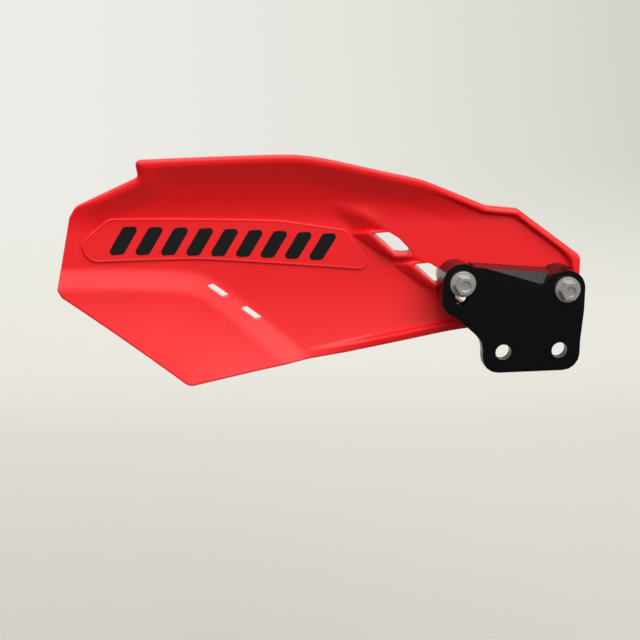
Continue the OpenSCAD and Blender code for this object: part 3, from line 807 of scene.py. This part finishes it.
def moulded_polypropylene():
    """Injection-moulded polypropylene, coloured through: satin, with a fine grain from the tool."""
    name = "moulded_polypropylene"
    if name in bpy.data.materials:
        return bpy.data.materials[name]
    material, tree, shader, where = start(name)
    f = bpy.context.scene.guard_finishes
    # flow marks of about 45 mm
    flow = add(tree, "ShaderNodeTexNoise", {"Scale": 22, "Detail": 3}, {"Vector": where})
    tint = add(
        tree, "ShaderNodeMix", {"A": tuple(f.shield), "B": tuple(f.shield_deep)},
        {"Factor": flow.outputs["Fac"]}, data_type="RGBA",
    )
    tree.links.new(result(tint), shader.inputs["Base Color"])
    # spots of about 11 mm differ a little in gloss
    cloud = add(tree, "ShaderNodeTexNoise", {"Scale": 90, "Detail": 4}, {"Vector": where})
    satin = add(
        tree, "ShaderNodeMapRange", {"To Min": 0.42, "To Max": 0.52}, {"Value": cloud.outputs["Fac"]}
    )
    # walls along the tool's draw have no grain: they are smoother, which brightens rims and vents
    normal = add(tree, "ShaderNodeNewGeometry").outputs["Normal"]
    turned = add(tree, "ShaderNodeSeparateXYZ", {}, {"Vector": normal})
    across = add(tree, "ShaderNodeMath", {}, {"Value": turned.outputs["Y"]}, operation="ABSOLUTE")
    grained = add(
        tree, "ShaderNodeMapRange", {"From Min": 0.3, "From Max": 0.7, "To Min": 0.18},
        {"Value": across.outputs[0], "To Max": satin.outputs["Result"]},
    )
    tree.links.new(grained.outputs["Result"], shader.inputs["Roughness"])
    # grain of about 0.35 mm, drawn a little coarser than the tool's so that it shows
    grain = add(tree, "ShaderNodeTexNoise", {"Scale": 2800, "Detail": 2}, {"Vector": where})
    fine = add(
        tree, "ShaderNodeBump", {"Strength": 0.25, "Distance": 0.03 * MM}, {"Height": grain.outputs["Fac"]}
    )
    # waves of about 17 mm
    wave = add(tree, "ShaderNodeTexNoise", {"Scale": 60, "Detail": 1}, {"Vector": where})
    bump = add(
        tree, "ShaderNodeBump", {"Strength": 0.5, "Distance": 0.12 * MM},
        {"Height": wave.outputs["Fac"], "Normal": fine.outputs["Normal"]},
    )
    tree.links.new(bump.outputs["Normal"], shader.inputs["Normal"])
    shader.inputs["IOR"].default_value = 1.49
    return material


def pad_ink():
    """Pad-printed ink, matt black, a little thicker than paint."""
    material, tree, shader, where = start("pad_printed_ink")
    # grain of about 0.7 mm
    grain = add(tree, "ShaderNodeTexNoise", {"Scale": 1500, "Detail": 2}, {"Vector": where}).outputs["Fac"]
    rough = add(tree, "ShaderNodeMapRange", {"To Min": 0.48, "To Max": 0.62}, {"Value": grain})
    tree.links.new(rough.outputs["Result"], shader.inputs["Roughness"])
    bump = add(tree, "ShaderNodeBump", {"Strength": 0.3, "Distance": 0.03 * MM}, {"Height": grain})
    tree.links.new(bump.outputs["Normal"], shader.inputs["Normal"])
    shader.inputs["Base Color"].default_value = tuple(bpy.context.scene.guard_finishes.ink)
    shader.inputs["Specular IOR Level"].default_value = 0.25
    return material


def gloss_nylon():
    """Glass-filled nylon from a polished tool: glossy black with a faint ripple."""
    material, tree, shader, where = start("gloss_nylon")
    # spots of about 8 mm differ in gloss, and the ripple is about 4 mm long
    cloud = add(tree, "ShaderNodeTexNoise", {"Scale": 120, "Detail": 5}, {"Vector": where}).outputs["Fac"]
    rough = add(tree, "ShaderNodeMapRange", {"To Min": 0.19, "To Max": 0.3}, {"Value": cloud})
    tree.links.new(rough.outputs["Result"], shader.inputs["Roughness"])
    ripple = add(tree, "ShaderNodeTexNoise", {"Scale": 260, "Detail": 3}, {"Vector": where}).outputs["Fac"]
    bump = add(tree, "ShaderNodeBump", {"Strength": 0.35, "Distance": 0.06 * MM}, {"Height": ripple})
    tree.links.new(bump.outputs["Normal"], shader.inputs["Normal"])
    shader.inputs["Base Color"].default_value = tuple(bpy.context.scene.guard_finishes.bracket)
    shader.inputs["IOR"].default_value = 1.53
    shader.inputs["Specular IOR Level"].default_value = 0.36
    return material


def coated_steel():
    """Forged bolt heads with a dull grey zinc flake coating."""
    material, tree, shader, where = start("zinc_flake_steel")
    # flakes in spots of about 1 mm
    flake = add(tree, "ShaderNodeTexNoise", {"Scale": 900, "Detail": 6}, {"Vector": where}).outputs["Fac"]
    rough = add(tree, "ShaderNodeMapRange", {"To Min": 0.3, "To Max": 0.5}, {"Value": flake})
    tree.links.new(rough.outputs["Result"], shader.inputs["Roughness"])
    bump = add(tree, "ShaderNodeBump", {"Strength": 0.4, "Distance": 0.05 * MM}, {"Height": flake})
    tree.links.new(bump.outputs["Normal"], shader.inputs["Normal"])
    shader.inputs["Base Color"].default_value = tuple(bpy.context.scene.guard_finishes.bolt)
    shader.inputs["Metallic"].default_value = 0.6
    return material


def zinc_steel():
    """Turned steel with bright zinc plating."""
    material, tree, shader, where = start("zinc_plated_steel")
    # clouds of about 2.5 mm
    cloud = add(tree, "ShaderNodeTexNoise", {"Scale": 400, "Detail": 4}, {"Vector": where}).outputs["Fac"]
    rough = add(tree, "ShaderNodeMapRange", {"To Min": 0.24, "To Max": 0.4}, {"Value": cloud})
    tree.links.new(rough.outputs["Result"], shader.inputs["Roughness"])
    shader.inputs["Base Color"].default_value = tuple(bpy.context.scene.guard_finishes.steel)
    shader.inputs["Metallic"].default_value = 1.0
    return material


# The studio, in metres: the paper's section and tints, the softboxes, and the room's light.
FLOOR_Z, PAPER_FRONT, PAPER_LEVEL, PAPER_BACK, PAPER_TOP = -0.25, -0.1, 0.2, 1.1, 2.6
PAPER_HALF, PAPER_BEND, BEND_PARTS = 3.0, 0.5, 12  # half width, radius of the curve, and its steps
# painted shade on the backdrop where it rises: darker toward the inboard side, over X
PAINTED_SHADE_FROM, PAINTED_SHADE_TO, PAINTED_SHADE_POWER = -0.5, 0.45, 2.0  # over X
# painted shade on the floor: darker under the guard than where it rises, over Y
AWAY_FROM, AWAY_TO = 0.2, 0.75  # over Y, from the near tone to the far one
LIFT_FROM, LIFT_TO = 0.002, 0.2  # above the floor, from lit paper to the backdrop's own tone
SENSOR_MM, NEAREST, FARTHEST = 36, 0.01, 50  # the camera's film width, and what it sees
AIM = Vector((-0.08, 0, 0.03))  # the softboxes face this point
KEY_SIZE, KEY_PLACE = 1.6, Vector((0.3, -1.05, 1.2))
TOP_SIZE, TOP_PLACE = 1.2, Vector((-0.15, 0.05, 1.05))
ROOM_FROM, ROOM_TO = -0.22, 0.2  # Z of a direction, from the room's low light to its high light


def turn_to(piece, direction):
    """Turns a camera or a light to look along a direction."""
    piece.rotation_mode = "QUATERNION"
    piece.rotation_quaternion = direction.to_track_quat("-Z", "Y")


def set_camera(studio):
    deselect()
    bpy.ops.object.camera_add(location=studio.eye)
    camera = newest("camera")
    camera.data.lens, camera.data.sensor_width = studio.lens, SENSOR_MM
    camera.data.clip_start, camera.data.clip_end = NEAREST, FARTHEST
    turn_to(camera, Vector(studio.look))
    bpy.context.scene.camera = camera


def hang_softboxes(studio):
    for name, power, size, spot in (
        ("key_light", studio.key, KEY_SIZE, KEY_PLACE),
        ("top_light", studio.top, TOP_SIZE, TOP_PLACE),
    ):
        bpy.ops.object.light_add(type="AREA", location=spot)
        light = newest(name)
        light.data.energy, light.data.size = power, size
        turn_to(light, AIM - spot)


def light_room(studio):
    """A room that is dark below the horizon and bright overhead, and plain where the camera sees it."""
    world = bpy.data.worlds.new("room")
    bpy.context.scene.world = world
    world.use_nodes = True
    tree = world.node_tree
    back = tree.nodes["Background"]
    where = add(tree, "ShaderNodeTexCoord").outputs["Generated"]
    room = add(
        tree, "ShaderNodeMapRange",
        {"From Min": ROOM_FROM, "From Max": ROOM_TO, "To Min": studio.low, "To Max": studio.high},
        {"Value": add(tree, "ShaderNodeSeparateXYZ", {}, {"Vector": where}).outputs["Z"]},
    )
    seen = add(tree, "ShaderNodeLightPath").outputs["Is Camera Ray"]
    level = add(tree, "ShaderNodeMix", {"B": 1.0}, {"A": room.outputs["Result"], "Factor": seen})
    back.inputs["Color"].default_value = tuple(bpy.context.scene.guard_finishes.floor)
    tree.links.new(result(level), back.inputs["Strength"])


def sweep():
    """Studio paper that lies flat under the guard and rises behind it in a wide curve."""
    profile = [(y, FLOOR_Z) for y in (PAPER_FRONT, PAPER_LEVEL, PAPER_BACK - PAPER_BEND)]
    for k in range(1, BEND_PARTS + 1):
        a = math.radians(90 * k / BEND_PARTS)
        y = PAPER_BACK - PAPER_BEND + PAPER_BEND * math.sin(a)
        profile.append((y, FLOOR_Z + PAPER_BEND * (1 - math.cos(a))))
    profile.append((PAPER_BACK, PAPER_TOP))
    deselect()
    bpy.ops.mesh.primitive_grid_add(x_subdivisions=1, y_subdivisions=len(profile) - 1, size=2)
    paper = newest("studio_paper")
    co = points_of(paper)
    line = np.array(profile)[np.rint((co[:, 1] + 1) / 2 * (len(profile) - 1)).astype(int)]
    place(paper, np.stack([np.sign(co[:, 0]) * PAPER_HALF, line[:, 0], line[:, 1]], -1))
    bpy.ops.object.shade_smooth()
    paper.data.materials.append(backdrop_paper())
    return paper


def backdrop_paper():
    """Seamless studio paper, matt: lit where it lies, with painted shade that darkens it under the guard,
    and glowing where it rises, with painted shade that darkens it toward the inboard side.
    """
    material, tree, shader, where = start("backdrop_paper")
    f = bpy.context.scene.guard_finishes
    axis = add(tree, "ShaderNodeSeparateXYZ", {}, {"Vector": where}).outputs
    path = add(tree, "ShaderNodeLightPath").outputs

    # painted shade: the glow darkens toward the inboard side
    across = add(
        tree, "ShaderNodeMapRange", {"From Min": PAINTED_SHADE_FROM, "From Max": PAINTED_SHADE_TO}, {"Value": axis["X"]}
    )
    curve = add(tree, "ShaderNodeMath", {1: PAINTED_SHADE_POWER}, {0: across.outputs["Result"]}, operation="POWER")
    tint = add(
        tree, "ShaderNodeMix", {"A": tuple(f.floor), "B": tuple(f.backdrop_painted_shade_inboard)},
        {"Factor": curve.outputs[0]}, data_type="RGBA",
    )
    glow = add(tree, "ShaderNodeEmission", {"Strength": 1.0}, {"Color": result(tint)})

    # the floor's tone as it is seen, with painted shade that darkens it under the guard, and a darker one
    # for the light that it throws back on the guard
    away = add(
        tree, "ShaderNodeMapRange", {"From Min": AWAY_FROM, "From Max": AWAY_TO}, {"Value": axis["Y"]}
    )
    tone, shade = (
        add(
            tree, "ShaderNodeMix", {"A": tuple(near), "B": tuple(f.floor_far)},
            {"Factor": away.outputs["Result"]}, data_type="RGBA",
        )
        for near in (f.floor_near_painted_shade, f.floor_shade)
    )
    bare = add(
        tree, "ShaderNodeMix", {}, {"A": result(shade), "B": result(tone), "Factor": path["Is Camera Ray"]},
        data_type="RGBA",
    )
    tree.links.new(result(bare), shader.inputs["Base Color"])
    shader.inputs["Roughness"].default_value = 0.9
    shader.inputs["Specular IOR Level"].default_value = 0.1

    # the glow takes the shader's place where the paper rises, for the rays that show the background
    shows = path["Is Camera Ray"]
    for ray in ("Is Glossy Ray", "Is Transmission Ray"):
        shows = add(tree, "ShaderNodeMath", {}, {0: shows, 1: path[ray]}, operation="MAXIMUM").outputs[0]
    lift = add(
        tree, "ShaderNodeMapRange", {"From Min": FLOOR_Z + LIFT_FROM, "From Max": FLOOR_Z + LIFT_TO},
        {"Value": axis["Z"]}, interpolation_type="SMOOTHSTEP",
    )
    share = add(tree, "ShaderNodeMath", {}, {0: shows, 1: lift.outputs["Result"]}, operation="MULTIPLY")
    mix = add(
        tree, "ShaderNodeMixShader", {}, {0: share.outputs[0], 1: shader.outputs[0], 2: glow.outputs[0]}
    )
    tree.links.new(mix.outputs[0], tree.nodes["Material Output"].inputs["Surface"])
    return material


class GUARD_OT_stage(bpy.types.Operator):
    """Makes the floor, the backdrop, the lights and the camera"""

    bl_idname = "guard.stage"
    bl_label = "Studio"

    def execute(self, context):
        studio = context.scene.guard_studio
        set_camera(studio)
        sweep()
        hang_softboxes(studio)
        light_room(studio)
        context.scene.view_settings.view_transform = "Standard"
        return {"FINISHED"}


OPERATORS = (GUARD_OT_shield, GUARD_OT_panel, GUARD_OT_bracket, GUARD_OT_fasteners, GUARD_OT_stage)
GROUPS = {"guard_shield": ShieldSizes, "guard_finishes": Finishes, "guard_studio": Studio}


class GUARD_PT_panel(bpy.types.Panel):
    """Lists the pieces of the hand guard"""

    bl_idname = "GUARD_PT_panel"
    bl_label = "Hand guard"
    bl_space_type = "VIEW_3D"
    bl_region_type = "UI"
    bl_category = "Hand guard"

    def draw(self, context):
        for operator in OPERATORS:
            self.layout.operator(operator.bl_idname)
        for group in GROUPS:
            column = self.layout.column()
            settings = getattr(context.scene, group)
            for name in type(settings).__annotations__:
                column.prop(settings, name)


def register():
    for name, group in GROUPS.items():
        bpy.utils.register_class(group)
        setattr(bpy.types.Scene, name, bpy.props.PointerProperty(type=group))
    for cls in (*OPERATORS, GUARD_PT_panel):
        bpy.utils.register_class(cls)


def unregister():
    for cls in (GUARD_PT_panel, *reversed(OPERATORS)):
        bpy.utils.unregister_class(cls)
    for name, group in GROUPS.items():
        delattr(bpy.types.Scene, name)
        bpy.utils.unregister_class(group)


def main():
    register()
    bpy.ops.guard.shield()
    bpy.ops.guard.panel()
    bpy.ops.guard.bracket()
    bpy.ops.guard.fasteners()
    bpy.ops.guard.stage()


if __name__ == "__main__":
    main()
